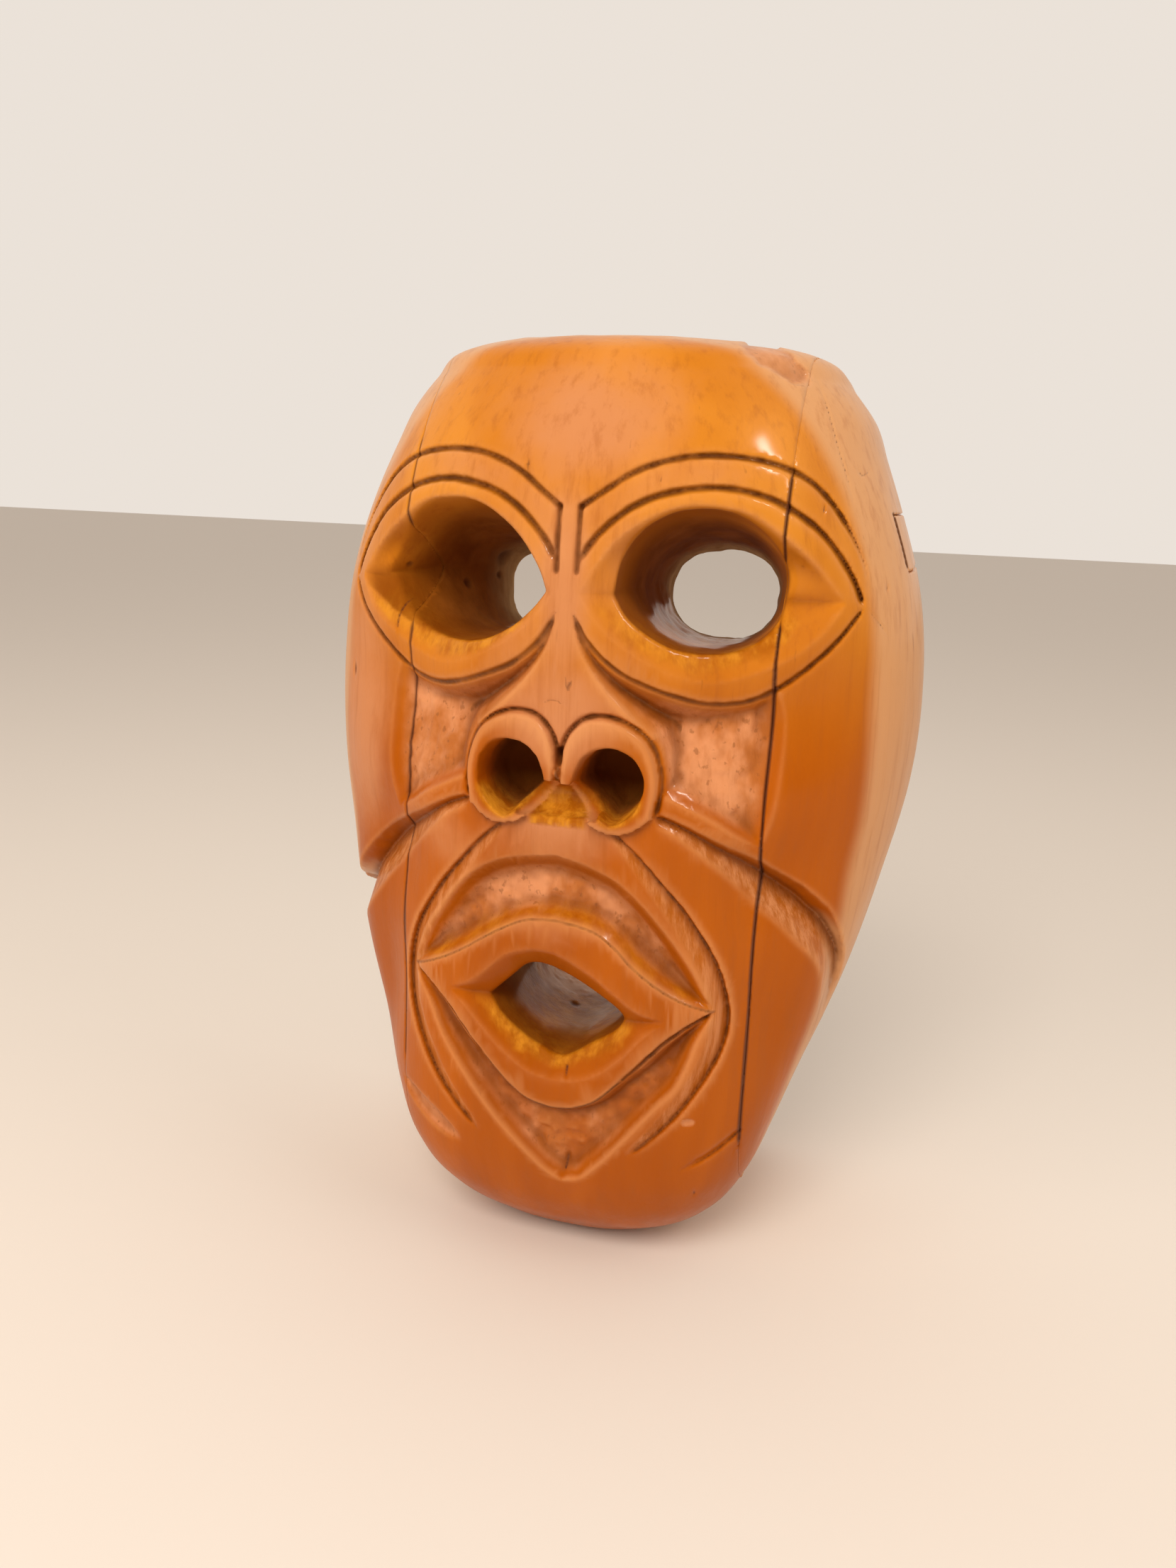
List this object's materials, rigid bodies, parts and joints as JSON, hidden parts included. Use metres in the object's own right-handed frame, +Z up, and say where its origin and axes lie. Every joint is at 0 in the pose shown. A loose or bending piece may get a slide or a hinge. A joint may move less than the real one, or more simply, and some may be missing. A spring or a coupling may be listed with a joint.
{
  "type": "carved wooden mask",
  "caption": "Hollow-backed carved wooden face mask with deep eye sockets, pierced mouth and a varnished front, glued up from upright blocks.",
  "frame": {"origin": "centre of the nail hole's mouth, in the back rim behind the top of the forehead", "axes": "+Z up, +Y out of the flat back towards the wall, +X to the right of a viewer who faces the mask"},
  "size_m": [0.1964, 0.11, 0.289],
  "materials": {
    "varnished_wood": "warm honey varnish over fine straight grain, raw wood in the back hollow",
    "patch_wood": "paler varnished wood",
    "dowel_wood": "plain unvarnished wood"
  },
  "bodies": {
    "root": {"centre_block": "varnished_wood", "left_cheek_block": "varnished_wood", "right_cheek_block": "varnished_wood", "temple_patch": "patch_wood", "left_dowels": "dowel_wood", "right_dowels": "dowel_wood"}
  },
  "joints": []
}
